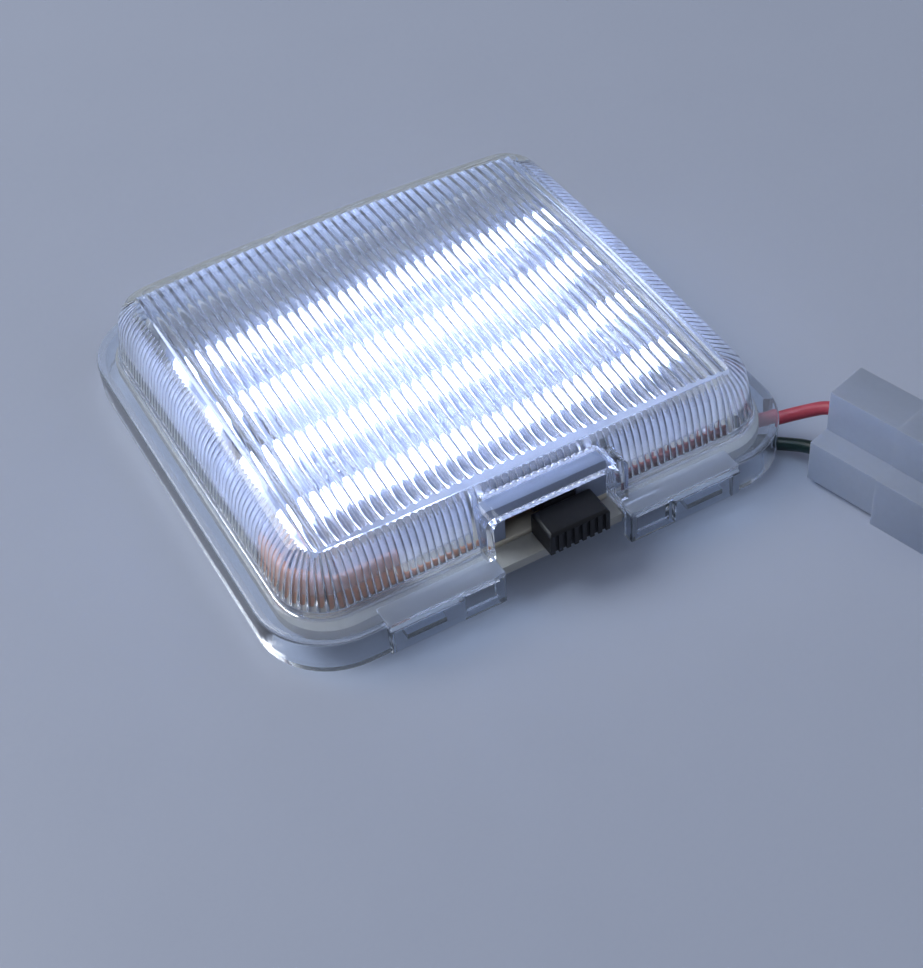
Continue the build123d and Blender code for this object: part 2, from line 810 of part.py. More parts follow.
def make_connector_terminals():
    """Receptacles in the cavities, open for the blades of the mating half."""
    terminals = []
    for across, bottom, height in connector_cells():
        middle = across + cell_width / 2
        floor = height - receptacle_height / 2
        terminal = block_between((wire_depth, middle - receptacle_width / 2, floor),
                                 (wire_depth + receptacle_length, middle + receptacle_width / 2,
                                  floor + receptacle_height))
        reach = cavity_width / 2 - blade_slot
        room = block_between((wire_depth + wire_diameter, middle - reach, height - blade_slot / 2),
                             (wire_depth + receptacle_length, middle + reach, height + blade_slot / 2))
        terminals.append(connector_place() * (terminal - room))
    return terminals


def make_wire(name, start, route, cell):
    """Lead as straight runs joined by the widest tangent arcs that the runs allow."""
    points = [Vector(*start)] + [Vector(*point) for point in route] + wire_end(cell)
    radii = []
    for before, corner, after in zip(points, points[1:], points[2:]):
        shorter = min((corner - before).length, (after - corner).length)
        half_turn = math.radians((corner - before).get_angle(after - corner)) / 2
        radii.append(0.45 * shorter / math.tan(half_turn))
    path = FilletPolyline(*points, radius=radii)
    section = Plane(origin=points[0], z_dir=points[1] - points[0]) * Circle(wire_diameter / 2)
    tube = sweep(section, path=path)
    print(name, "radii", [round(radius, 1) for radius in radii], "length", round(path.length, 1),
          "volume over section times length",
          round(tube.volume / (math.pi * wire_diameter ** 2 / 4 * path.length), 4))
    return tube


def write(name, shape):
    """Write one node; a list of like pieces becomes a group of separate solids."""
    if isinstance(shape, list):
        shape = Compound(children=[solid for piece in shape for solid in piece.solids()])
    export_step(shape, f"parts/{name}.step")


def main():
    os.makedirs("parts", exist_ok=True)
    lower_cell, upper_cell = connector_cells()
    write("lens_cover", make_lens_cover())
    write("base_housing", make_base_housing())
    write("led_board", make_led_board())
    write("leds", make_leds())
    write("resistors", make_resistors())
    write("board_screws", make_board_screws())
    write("earth_strip", make_earth_strip())
    write("earth_link", make_earth_link())
    write("door_strip", make_door_strip())
    write("feed_strip", make_feed_strip())
    write("strip_rivets", make_strip_rivets())
    write("terminal_board", make_terminal_board())
    write("switch_terminals", make_switch_terminals())
    write("switch_frame", make_switch_frame())
    write("switch_rivets", make_switch_rivets())
    write("switch_knob", make_switch_knob())
    write("slider_contact", make_slider_contact())
    write("detent_spring", make_detent_spring())
    write("connector_housing", make_connector_housing())
    write("connector_terminals", make_connector_terminals())
    write("red_wire", make_wire("red_wire", red_start, red_route, upper_cell))
    write("green_wire", make_wire("green_wire", green_start, green_route, lower_cell))


main()
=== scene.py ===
"""Dresses the car dome light: clear ribbed lens, cream base, LEDs, slide switch and two leads.

Sizes in the classes are in millimetres in the row frame: X along the front edge, Y to the back,
Z up.
"""

import logging
import math
from collections.abc import Callable, Sequence
from dataclasses import dataclass
from enum import Enum
from typing import TypeVar

import bmesh
import bpy
from mathutils import Matrix, Vector

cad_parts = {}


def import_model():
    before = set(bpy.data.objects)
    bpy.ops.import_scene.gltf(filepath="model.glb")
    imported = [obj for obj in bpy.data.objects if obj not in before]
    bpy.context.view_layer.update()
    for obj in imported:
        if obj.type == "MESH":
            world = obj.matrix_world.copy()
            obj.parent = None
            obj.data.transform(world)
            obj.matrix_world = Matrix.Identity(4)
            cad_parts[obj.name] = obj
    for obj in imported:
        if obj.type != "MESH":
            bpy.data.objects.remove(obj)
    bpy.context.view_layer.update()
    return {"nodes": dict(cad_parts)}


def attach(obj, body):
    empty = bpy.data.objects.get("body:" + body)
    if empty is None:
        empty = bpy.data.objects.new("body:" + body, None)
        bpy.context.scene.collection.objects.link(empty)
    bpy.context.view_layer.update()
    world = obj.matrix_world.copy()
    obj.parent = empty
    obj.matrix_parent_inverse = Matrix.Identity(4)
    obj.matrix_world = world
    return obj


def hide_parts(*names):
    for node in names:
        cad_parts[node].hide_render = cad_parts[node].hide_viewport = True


LOG = logging.getLogger("dome_light")
MM = 0.001
QUARTER_TURN = math.pi / 2

Point = tuple[float, float, float]
Place = tuple[float, float]
Colour = tuple[float, float, float]
Made = TypeVar("Made")


class Body(Enum):
    """Bodies that the scene's own pieces ride on."""

    LAMP = "lamp"


class Cut(Enum):
    """Ways to combine two solids."""

    JOIN = "UNION"
    REMOVE = "DIFFERENCE"


@dataclass(frozen=True, kw_only=True)
class Surface:
    """What every finish has: a name, a roughness between two values and a fine mottle.

    The grain is the scale of the mottle, in specks to a metre.
    """

    name: str
    roughness: tuple[float, float]
    grain: float = 900.0
    grain_detail: float = 3.0

    def build(self) -> bpy.types.Material:
        """Makes the material with what all finishes have: the mottle and the roughness.

        Returns:
            The new material with its node tree.
        """
        material = bpy.data.materials.new(self.name)
        material.use_nodes = True
        tree = material.node_tree
        place = tree.nodes.new("ShaderNodeTexCoord")
        mottle = tree.nodes.new("ShaderNodeTexNoise")
        mottle.name = "mottle"
        mottle.inputs["Scale"].default_value = self.grain
        mottle.inputs["Detail"].default_value = self.grain_detail
        spread = tree.nodes.new("ShaderNodeMapRange")
        spread.inputs["To Min"].default_value = self.roughness[0]
        spread.inputs["To Max"].default_value = self.roughness[1]
        shader = tree.nodes["Principled BSDF"]
        tree.links.new(place.outputs["Object"], mottle.inputs["Vector"])
        tree.links.new(mottle.outputs["Fac"], spread.inputs["Value"])
        tree.links.new(spread.outputs["Result"], shader.inputs["Roughness"])
        return material


@dataclass(frozen=True, kw_only=True)
class Finish(Surface):
    """A moulded, painted or metal surface that is mottled between two near colours."""

    light: Colour
    dark: Colour
    relief: float = 0.0
    relief_height: float = 0.05
    metallic: float = 0.0
    specular: float = 0.5
    subsurface: float = 0.0
    subsurface_depth: float = 1.5
    subsurface_radius: Colour = (1.0, 0.9, 0.8)

    def build(self) -> bpy.types.Material:
        """Makes the material.

        Returns:
            The new material with its node tree.
        """
        material = super().build()
        tree = material.node_tree
        shader = tree.nodes["Principled BSDF"]
        mottle = tree.nodes["mottle"].outputs["Fac"]
        blend = tree.nodes.new("ShaderNodeMix")
        blend.data_type = "RGBA"
        blend.inputs["A"].default_value = (*self.dark, 1.0)
        blend.inputs["B"].default_value = (*self.light, 1.0)
        tree.links.new(mottle, blend.inputs["Factor"])
        tree.links.new(blend.outputs["Result"], shader.inputs["Base Color"])
        if self.relief:
            bump = tree.nodes.new("ShaderNodeBump")
            bump.inputs["Strength"].default_value = self.relief
            bump.inputs["Distance"].default_value = self.relief_height * MM
            tree.links.new(mottle, bump.inputs["Height"])
            tree.links.new(bump.outputs["Normal"], shader.inputs["Normal"])
        shader.inputs["Metallic"].default_value = self.metallic
        shader.inputs["Specular IOR Level"].default_value = self.specular
        if self.subsurface:
            shader.inputs["Subsurface Weight"].default_value = self.subsurface
            shader.inputs["Subsurface Radius"].default_value = self.subsurface_radius
            shader.inputs["Subsurface Scale"].default_value = self.subsurface_depth * MM
        return material


@dataclass(frozen=True, kw_only=True)
class MilkyFinish(Finish):
    """A natural plastic that lets light in and scatters it."""

    transmission: float = 0.35
    index: float = 1.5

    def build(self) -> bpy.types.Material:
        """Makes the material.

        Returns:
            The new material with its node tree.
        """
        material = super().build()
        shader = material.node_tree.nodes["Principled BSDF"]
        shader.inputs["Transmission Weight"].default_value = self.transmission
        shader.inputs["IOR"].default_value = self.index
        return material


@dataclass(frozen=True, kw_only=True)
class LitFinish(Finish):
    """A surface that glows."""

    glow: Colour
    strength: float

    def build(self) -> bpy.types.Material:
        """Makes the material.

        Returns:
            The new material with its node tree.
        """
        material = super().build()
        shader = material.node_tree.nodes["Principled BSDF"]
        shader.inputs["Emission Color"].default_value = (*self.glow, 1.0)
        shader.inputs["Emission Strength"].default_value = self.strength
        return material


@dataclass(frozen=True, kw_only=True)
class ClearFinish(Surface):
    """A clear plastic that refracts what is behind it, lets lamp light through and has some haze.

    The haze is given as pairs of a height in millimetres and the share of light that is scattered
    there, from the mounting face up to past the lens.
    """

    haze: tuple[Place, ...]
    roughness: tuple[float, float] = (0.01, 0.05)
    grain: float = 500.0
    index: float = 1.49
    tint: Colour = (0.88, 0.93, 1.0)
    shadow_tint: Colour = (0.86, 0.89, 0.92)
    haze_tint: Colour = (0.78, 0.85, 1.0)
    haze_back: float = 0.5

    def build(self) -> bpy.types.Material:
        """Makes the material.

        Returns:
            The new material with its node tree.
        """
        material = super().build()
        tree = material.node_tree
        shader = tree.nodes["Principled BSDF"]
        shader.inputs["Base Color"].default_value = (*self.tint, 1.0)
        shader.inputs["IOR"].default_value = self.index
        shader.inputs["Transmission Weight"].default_value = 1.0
        path = tree.nodes.new("ShaderNodeLightPath")
        clear = tree.nodes.new("ShaderNodeBsdfTransparent")
        clear.inputs["Color"].default_value = (*self.shadow_tint, 1.0)
        hazy = self.blend(tree, self.haze_share(tree), shader.outputs["BSDF"], self.scatter(tree))
        mixed = self.blend(tree, path.outputs["Is Shadow Ray"], hazy, clear.outputs["BSDF"])
        tree.links.new(mixed, tree.nodes["Material Output"].inputs["Surface"])
        return material

    @staticmethod
    def blend(
        tree: bpy.types.NodeTree,
        share: bpy.types.NodeSocket | float,
        first: bpy.types.NodeSocket,
        second: bpy.types.NodeSocket,
    ) -> bpy.types.NodeSocket:
        """Mixes two shaders.

        Args:
            tree: Node tree of the material.
            share: Share of the second shader, as a socket or a number.
            first: Output of the first shader.
            second: Output of the second shader.

        Returns:
            Output socket of the mixed shader.
        """
        mix = tree.nodes.new("ShaderNodeMixShader")
        if isinstance(share, float):
            mix.inputs["Fac"].default_value = share
        else:
            tree.links.new(share, mix.inputs["Fac"])
        tree.links.new(first, mix.inputs[1])
        tree.links.new(second, mix.inputs[2])
        return mix.outputs["Shader"]

    def scatter(self, tree: bpy.types.NodeTree) -> bpy.types.NodeSocket:
        """Adds the soft scatter of the hazy places, part through the wall and part back.

        Args:
            tree: Node tree of the material.

        Returns:
            Output socket of the scattering shader.
        """
        through = tree.nodes.new("ShaderNodeBsdfTranslucent")
        back = tree.nodes.new("ShaderNodeBsdfDiffuse")
        for node in (through, back):
            node.inputs["Color"].default_value = (*self.haze_tint, 1.0)
        return self.blend(tree, self.haze_back, through.outputs["BSDF"], back.outputs["BSDF"])

    def haze_share(self, tree: bpy.types.NodeTree) -> bpy.types.NodeSocket:
        """Adds the share of haze as a ramp over the height.

        Args:
            tree: Node tree of the material.

        Returns:
            Output socket with values from 0 to 1.
        """
        top = self.haze[-1][0]
        place = tree.nodes.new("ShaderNodeTexCoord")
        split = tree.nodes.new("ShaderNodeSeparateXYZ")
        spread = tree.nodes.new("ShaderNodeMapRange")
        spread.inputs["From Max"].default_value = top * MM
        ramp = tree.nodes.new("ShaderNodeValToRGB")
        stops = ramp.color_ramp.elements
        between = [stops.new(height / top) for height, _ in self.haze[1:-1]]
        for stop, (_, share) in zip([stops[0], *between, stops[-1]], self.haze):
            stop.color = (share, share, share, 1.0)
        tree.links.new(place.outputs["Object"], split.inputs["Vector"])
        tree.links.new(split.outputs["Z"], spread.inputs["Value"])
        tree.links.new(spread.outputs["Result"], ramp.inputs["Fac"])
        return ramp.outputs["Color"]


HAZE_TOP = 24.0
# Near-white tint of the painted highlight lines.
HIGHLIGHT_TINT: Colour = (0.95, 0.97, 1.0)


def even_haze(share: float) -> tuple[Place, ...]:
    """Gives a haze that is the same at every height.

    Args:
        share: Share of light that is scattered.

    Returns:
        Pairs of a height and the share there.
    """
    return ((0.0, share), (HAZE_TOP, share))


# The narrow bands of heavy haze at 8.2 to 8.35 mm and 8.98 to 9.15 mm are painted highlight lines,
# falling on the rim's rounded edge and on the round of the dome's foot; the band between hazes the
# flange.
CLEAR = ClearFinish(
    name="clear_lens",
    haze=((0.0, 0.02), (8.1, 0.02), (8.2, 0.4), (8.35, 0.4), (8.5, 0.25), (8.9, 0.25),
          (8.98, 0.5), (9.15, 0.5), (9.3, 0.02), (HAZE_TOP, 0.02)),
)
RIBBED = ClearFinish(
    name="ribbed_inside", haze=((0.0, 0.05), (11.6, 0.05), (12.6, 0.42), (HAZE_TOP, 0.42))
)
# Dark blue tint on the valleys between the ribs: painted shade for the dark lines that refraction
# makes there.
VALLEY_SHADE = ClearFinish(name="rib_valley_painted_shade", haze=even_haze(0.03), tint=(0.34, 0.4, 0.6))
# Heavy white haze on the upright crest of the left and right walls: a painted highlight for the
# bright line of lamp light along it.
CREST_HIGHLIGHT = ClearFinish(
    name="crest_painted_highlight", haze=even_haze(0.75), haze_tint=HIGHLIGHT_TINT, roughness=(0.05, 0.1)
)
FLUTED = ClearFinish(name="fluted_inside", haze=even_haze(0.03), roughness=(0.05, 0.09))
# White haze on the steep sides of the flutes ahead of the lit end: painted highlight lines for the
# LED light that the flutes refract between the bands.
FLUTE_HIGHLIGHT = ClearFinish(
    name="flute_painted_highlight", haze=even_haze(0.22), haze_tint=HIGHLIGHT_TINT, roughness=(0.1, 0.15)
)
# Cream of the base, darkened well below its own pale cream by painted shade, as the base lies in
# shade under the lens.
SHADED_CREAM = Finish(
    name="cream_base_painted_shade", light=(0.44, 0.43, 0.39), dark=(0.4, 0.39, 0.35), roughness=(0.42, 0.58),
    relief=0.15, subsurface=0.08,
)
RESIST = Finish(
    name="board_resist", light=(0.34, 0.38, 0.5), dark=(0.31, 0.35, 0.46), roughness=(0.35, 0.5),
    grain=350.0,
)
PHOSPHOR = LitFinish(
    name="lit_led", light=(0.95, 0.95, 0.88), dark=(0.93, 0.9, 0.78), roughness=(0.4, 0.55),
    glow=(0.6, 0.68, 1.0), strength=15.0,
)
CERAMIC = Finish(
    name="resistor_ceramic", light=(0.62, 0.67, 0.7), dark=(0.56, 0.61, 0.64), roughness=(0.35, 0.5)
)
STEEL = Finish(
    name="plated_steel", light=(0.72, 0.72, 0.74), dark=(0.6, 0.6, 0.62), roughness=(0.22, 0.38),
    metallic=1.0,
)
COPPER = Finish(
    name="rolled_copper", light=(1.0, 0.5, 0.28), dark=(0.92, 0.42, 0.22), roughness=(0.35, 0.5),
    metallic=0.2,
)
AGED_COPPER = Finish(
    name="aged_copper", light=(0.3, 0.08, 0.06), dark=(0.2, 0.045, 0.035), roughness=(0.4, 0.6),
    metallic=0.5,
)
# Dark grey-blue on the switch frame: painted shade for the dark inside of the hood, in place of the
# base's cream plastic.
FRAME_SHADE = Finish(
    name="frame_painted_shade", light=(0.27, 0.31, 0.42), dark=(0.23, 0.27, 0.37), roughness=(0.4, 0.55),
    relief=0.15,
)
FIBRE = Finish(
    name="pressed_fibre", light=(0.66, 0.6, 0.48), dark=(0.58, 0.52, 0.41), roughness=(0.5, 0.7)
)
BLACK = Finish(
    name="black_plastic", light=(0.014, 0.014, 0.017), dark=(0.009, 0.009, 0.011),
    roughness=(0.35, 0.5), relief=0.25, specular=0.35,
)
NYLON = MilkyFinish(
    name="natural_nylon", light=(0.58, 0.66, 0.82), dark=(0.53, 0.61, 0.76), roughness=(0.28, 0.42),
    subsurface=0.5,
)
RED = Finish(
    name="red_lead", light=(0.55, 0.07, 0.1), dark=(0.48, 0.055, 0.08), roughness=(0.3, 0.42)
)
GREEN = Finish(
    name="green_lead", light=(0.006, 0.028, 0.024), dark=(0.004, 0.02, 0.017),
    roughness=(0.25, 0.35),
)
PALE_FLOOR = Finish(
    name="floor", light=(0.58, 0.64, 0.78), dark=(0.56, 0.62, 0.76), roughness=(0.35, 0.45),
    grain=40.0,
)


def dress(thing: bpy.types.Object, *finishes: Surface) -> None:
    """Gives a piece its finishes, making each material once.

    Args:
        thing: Piece to dress.
        finishes: Finishes that it takes, the one for all its faces first.
    """
    thing.data.materials.clear()
    for finish in finishes:
        thing.data.materials.append(bpy.data.materials.get(finish.name) or finish.build())


@dataclass(frozen=True)
class Outline:
    """Rounded rectangle that is centred on the lamp's axis."""

    half_width: float
    half_depth: float
    radius: float

    def inset(self, by: float) -> "Outline":
        """Gives the outline that lies inside this one.

        Args:
            by: Distance between the two.

        Returns:
            The smaller outline.
        """
        return Outline(self.half_width - by, self.half_depth - by, self.radius - by)

    def walk(self, side: int = 24, front: int = 24, corner: int = 14) -> list[tuple[Place, Place]]:
        """Walks round the outline against the clock.

        Args:
            side: Steps along the right and left sides.
            front: Steps along the front and back sides.
            corner: Steps round each corner.

        Returns:
            Pairs of a point on the outline and its outward direction.
        """
        found = []
        for quarter in range(4):
            even = quarter % 2 == 0
            across = self.half_width if even else self.half_depth
            along = (self.half_depth if even else self.half_width) - self.radius
            steps = side if even else front
            turn = Matrix.Rotation(QUARTER_TURN * quarter, 2)
            for step in range(steps):
                point = turn @ Vector((across, -along + 2 * along * step / steps))
                found.append((tuple(point), tuple(turn @ Vector((1.0, 0.0)))))
            for step in range(corner):
                angle = QUARTER_TURN * step / corner
                out = Vector((math.cos(angle), math.sin(angle)))
                point = turn @ (Vector((across - self.radius, along)) + out * self.radius)
                found.append((tuple(point), tuple(turn @ out)))
        return found


class Maker:
    """Turns points in millimetres into mesh objects in metres."""

    merge_distance = 0.0001
    edge_segments = 3
    round_profile = 0.5

    @classmethod
    def mesh(
        cls, name: str, points: Sequence[Sequence[float]], faces: Sequence[Sequence[int]]
    ) -> bpy.types.Object:
        """Makes a closed mesh object with its faces turned outward.

        Args:
            name: Name of the object.
            points: Corners in millimetres.
            faces: Corner numbers of each face.

        Returns:
            The new object, linked to the scene.
        """
        data = bpy.data.meshes.new(name)
        data.from_pydata([[value * MM for value in point] for point in points], [], faces)
        form = bmesh.new()
        form.from_mesh(data)
        bmesh.ops.remove_doubles(form, verts=form.verts, dist=cls.merge_distance * MM)
        bmesh.ops.recalc_face_normals(form, faces=form.faces)
        form.to_mesh(data)
        form.free()
        thing = bpy.data.objects.new(name, data)
        bpy.context.scene.collection.objects.link(thing)
        return thing

    @classmethod
    def stack(cls, name: str, rings: Sequence[Sequence[Point]]) -> bpy.types.Object:
        """Skins a stack of closed rings of as many points each, with both ends capped.

        Args:
            name: Name of the object.
            rings: Rings from one end to the other.

        Returns:
            The new object.
        """
        count = len(rings[0])
        points = [point for ring in rings for point in ring]
        faces = [
            (low * count + step, low * count + (step + 1) % count,
             (low + 1) * count + (step + 1) % count, (low + 1) * count + step)
            for low in range(len(rings) - 1)
            for step in range(count)
        ]
        faces.append(tuple(reversed(range(count))))
        faces.append(tuple(range(len(points) - count, len(points))))
        return cls.mesh(name, points, faces)

    @classmethod
    def prism(cls, name: str, outline: Outline, low: float, high: float) -> bpy.types.Object:
        """Makes an upright prism with rounded corners.

        Args:
            name: Name of the object.
            outline: Outline of the prism.
            low: Height of its underside.
            high: Height of its top.

        Returns:
            The new object.
        """
        places = [place for place, _ in outline.walk()]
        return cls.stack(name, [[(x, y, z) for x, y in places] for z in (low, high)])

    @classmethod
    def block(cls, name: str, low: Point, high: Point, edge: float = 0.0) -> bpy.types.Object:
        """Makes a box, with rounded edges if an edge radius is given.

        Args:
            name: Name of the object.
            low: Lowest corner.
            high: Highest corner.
            edge: Radius of the edges.

        Returns:
            The new object.
        """
        ring = [(low[0], low[1]), (high[0], low[1]), (high[0], high[1]), (low[0], high[1])]
        thing = cls.stack(name, [[(x, y, z) for x, y in ring] for z in (low[2], high[2])])
        if edge:
            form = bmesh.new()
            form.from_mesh(thing.data)
            bmesh.ops.bevel(
                form, geom=form.edges[:], offset=edge * MM, segments=cls.edge_segments,
                profile=cls.round_profile, affect="EDGES",
            )
            form.to_mesh(thing.data)
            form.free()
        return thing

    @staticmethod
    def combine(target: bpy.types.Object, tool: bpy.types.Object, cut: Cut) -> None:
        """Joins the tool to the target or removes it from it, and deletes the tool.

        Args:
            target: Solid that changes.
            tool: Solid that is joined or removed.
            cut: Which of the two.
        """
        modifier = target.modifiers.new("combine", "BOOLEAN")
        modifier.object = tool
        modifier.operation = cut.value
        modifier.solver = "MANIFOLD"
        graph = bpy.context.evaluated_depsgraph_get()
        result = bpy.data.meshes.new_from_object(target.evaluated_get(graph))
        target.modifiers.clear()
        target.data = result
        bpy.data.objects.remove(tool)

    @staticmethod
    def smooth(thing: bpy.types.Object, angle: float) -> None:
        """Shades a piece smooth, apart from its sharp edges.

        Args:
            thing: Piece to shade.
            angle: Turn in degrees from which an edge is sharp.
        """
        thing.data.shade_smooth()
        thing.data.set_sharp_from_angle(angle=math.radians(angle))


@dataclass
class LensCover:
    """Clear lens in one moulding: ribbed dome, flange, rim, switch hood and clip blocks."""

    rim: Outline = Outline(49.6, 47.75, 13.4)
    rim_low: float = 2.0
    rim_wall: float = 1.6
    rim_edge: float = 0.7
    rim_edge_steps: int = 6
    flange_under: float = 7.2
    flange_top: float = 8.8

    dome: Outline = Outline(45.8, 42.85, 9.4)
    dome_draft: float = 11.0
    dome_wall: float = 2.2
    dome_edge: float = 5.2
    dome_edge_steps: int = 12
    dome_edge_rounds: int = 12
    slope_step: float = 0.1
    foot_radius: float = 0.8
    foot_steps: int = 6
    apex: float = 23.55
    crown_radius: float = 545.0
    crown_wall: float = 1.6
    crown_steps: int = 12

    rib_depth: float = 0.3
    rib_start: float = 9.0
    rib_shoulder: float = 14.8
    rib_bend: float = 15.7
    rib_crest: float = 18.4
    rib_side: int = 51
    rib_front: int = 57
    rib_corner: int = 8
    rib_steps: int = 8
    rib_rows: int = 14
    valley_shade_tilt: float = 31.0
    crest: Outline = Outline(40.2, 37.25, 3.8)

    flute_half_width: float = 39.2
    flute_half_length: float = 36.9
    flute_floor: float = 16.9
    flute_count: int = 40
    flute_steps: int = 6
    flute_depth: float = 0.45
    band_lines: tuple[float, ...] = (28.0, 11.65, -4.7, -21.05)
    lit_end: float = 17.5
    flute_highlight_tilt: float = 31.0

    notch: Place = (-11.3, 12.7)
    hood_wall: float = 1.4
    hood_front: float = 45.2
    hood_top: float = 18.7
    hood_edge: float = 1.8
    hood_edge_steps: int = 8
    opening_front: float = 57.75

    block_length: float = 21.4
    block_front: float = 48.4
    block_top: float = 9.1
    block_wall: float = 1.1
    block_edge: float = 0.25
    pad_length: float = 13.4
    pad_proud: float = 0.9
    pad_edge: float = 0.5
    pad_heights: Place = (3.0, 8.3)
    window_heights: Place = (3.3, 7.6)

    hook_length: float = 7.0
    hook_heights: Place = (4.0, 5.0)
    hook_spans: tuple[tuple[float, float, float], ...] = (
        (-22.0, 43.45, 46.95), (22.0, 43.45, 46.95),
        (-26.0, -47.85, -43.45), (27.4, -47.85, -43.45),
    )

    exit_angle: float = -27.0
    exit_width: float = 7.0
    exit_top: float = 7.0
    exit_reach: float = 60.0

    cut_low: float = -1.0
    cut_lap: float = 0.1
    upright_limit: float = 0.5
    sharp_angle: float = 38.0

    def crown(self, x: float, y: float) -> float:
        """Gives the height of the lens's outer crown.

        Args:
            x: Place under the crown.
            y: Place under the crown.

        Returns:
            The height over that place.
        """
        return self.apex - (x * x + y * y) / (2 * self.crown_radius)

    def foot_profile(self) -> list[Place]:
        """Lists the inset and height of the dome's foot, with the round where it meets the flange.

        Returns:
            Pairs from the flange's underside up to the end of the round.
        """
        lean = math.radians(self.dome_draft)
        reach = self.foot_radius / math.tan((QUARTER_TURN + lean) / 2)
        profile = [(-reach, self.flange_under)]
        for step in range(self.foot_steps + 1):
            angle = (QUARTER_TURN - lean) * step / self.foot_steps
            profile.append((self.foot_radius * math.sin(angle) - reach,
                            self.flange_top + self.foot_radius * (1 - math.cos(angle))))
        return profile

    def edge_profile(self, place: Place, out: Place) -> list[Place]:
        """Lists the inset and height of the round between the dome's wall and its crown.

        The round touches both, so its centre is found in a few rounds from the crown's height and
        slope over it.

        Args:
            place: Point on the dome's outline.
            out: Outward direction there.

        Returns:
            Pairs from the wall up to the crown.
        """
        lean = math.radians(self.dome_draft)
        centre_z = self.apex - self.dome_edge
        for _ in range(self.dome_edge_rounds):
            rise = centre_z - self.flange_top
            inset = (self.dome_edge + rise * math.sin(lean)) / math.cos(lean)
            top, ahead = (self.crown(place[0] - out[0] * distance, place[1] - out[1] * distance)
                          for distance in (inset, inset + self.slope_step))
            slope = math.atan2(ahead - top, self.slope_step)
            centre_z = top - self.dome_edge / math.cos(slope)
        profile = []
        for step in range(self.dome_edge_steps + 1):
            angle = lean + (QUARTER_TURN + slope - lean) * step / self.dome_edge_steps
            profile.append((inset - self.dome_edge * math.cos(angle),
                            centre_z + self.dome_edge * math.sin(angle)))
        return profile

    def dome_block(self) -> bpy.types.Object:
        """Makes the dome as a solid, from inside the flange up to its crown.

        Returns:
            The solid that the lens starts from.
        """
        foot = self.foot_profile()
        columns = []
        for (x, y), (out_x, out_y) in self.dome.walk():
            profile = [*foot, *self.edge_profile((x, y), (out_x, out_y))]
            column = [(x - out_x * inset, y - out_y * inset, z) for inset, z in profile]
            last_x, last_y, _ = column[-1]
            for step in range(1, self.crown_steps):
                share = 1 - step / self.crown_steps
                top_x, top_y = last_x * share, last_y * share
                column.append((top_x, top_y, self.crown(top_x, top_y)))
            columns.append(column)
        return Maker.stack("lens", list(zip(*columns)))

    def rim_block(self) -> bpy.types.Object:
        """Makes the rim as a solid with a rounded top edge.

        Returns:
            The solid to join.
        """
        walk = self.rim.walk()
        profile = [(0.0, self.rim_low), (0.0, self.flange_top - self.rim_edge)]
        for step in range(1, self.rim_edge_steps + 1):
            angle = QUARTER_TURN * step / self.rim_edge_steps
            profile.append((self.rim_edge * (1 - math.cos(angle)),
                            self.flange_top - self.rim_edge * (1 - math.sin(angle))))
        rings = [[(x - out_x * inset, y - out_y * inset, z) for (x, y), (out_x, out_y) in walk]
                 for inset, z in profile]
        return Maker.stack("rim", rings)

    def wall_inside(self, z: float) -> Outline:
        """Gives the inside of the dome's wall.

        Args:
            z: Height.

        Returns:
            The outline at that height.
        """
        lean = math.tan(math.radians(self.dome_draft))
        return self.dome.inset(self.dome_wall + (z - self.flange_top) * lean)

    def rib_ring(self, outline: Outline, z: float) -> list[Point]:
        """Lists the points of one ring of the ribbed inside.

        Args:
            outline: Outline through the valleys between the ribs.
            z: Height of the ring.

        Returns:
            Points round the ring, with every rib bulging inward.
        """
        walk = outline.walk(self.rib_side, self.rib_front, self.rib_corner)
        valleys = [Vector(place) for place, _ in walk]
        ring = []
        for start, end in zip(valleys, valleys[1:] + valleys[:1]):
            chord = end - start
            inward = Vector((-chord.y, chord.x)).normalized()
            for step in range(self.rib_steps):
                share = step / self.rib_steps
                bulge = self.rib_depth * (1 - (2 * share - 1) ** 2)
                place = start + chord * share + inward * bulge
                ring.append((place.x, place.y, z))
        return ring

    def rib_core(self) -> bpy.types.Object:
        """Makes the room inside the ribbed wall, drawn in over the shoulder.

        Returns:
            The solid to remove.
        """
        foot, shoulder = self.wall_inside(self.rib_start), self.wall_inside(self.rib_shoulder)
        rings = []
        for row in range(self.rib_rows + 1):
            share = row / self.rib_rows
            weights = ((1 - share) ** 2, 2 * share * (1 - share), share * share)

            def bend(*values: float) -> float:
                return sum(weight * value for weight, value in zip(weights, values))

            outline = Outline(
                bend(foot.half_width, shoulder.half_width, self.crest.half_width),
                bend(foot.half_depth, shoulder.half_depth, self.crest.half_depth),
                bend(foot.radius, shoulder.radius, self.crest.radius),
            )
            height = bend(self.rib_start, self.rib_bend, self.rib_crest)
            rings.append(self.rib_ring(outline, height))
        core = Maker.stack("rib_core", rings)
        low = self.flange_under - self.cut_lap
        Maker.combine(core, Maker.prism("foot_core", foot, low, self.rib_start), Cut.JOIN)
        return core

    def flute_core(self) -> bpy.types.Object:
        """Makes the room under the crown, with flutes that run front to back in bands.

        Returns:
            The solid to remove.
        """
        pitch = 2 * self.flute_half_width / self.flute_count
        ends = (self.flute_half_length, -self.flute_half_length)
        rows = []
        for y in sorted((*ends, self.lit_end, *self.band_lines), reverse=True):
            row = []
            for number in range(self.flute_count * self.flute_steps + 1):
                flute, step = divmod(number, self.flute_steps)
                share = step / self.flute_steps
                start = -self.flute_half_width + pitch * flute
                low = self.crown(start, y)
                high = self.crown(start + pitch, y)
                sag = self.flute_depth * (1 - (2 * share - 1) ** 2)
                z = low + (high - low) * share - self.crown_wall - sag
                row.append((start + pitch * share, y, z))
            rows.append([(row[0][0], y, self.flute_floor), *row, (row[-1][0], y, self.flute_floor)])
        return Maker.stack("flute_core", rows)

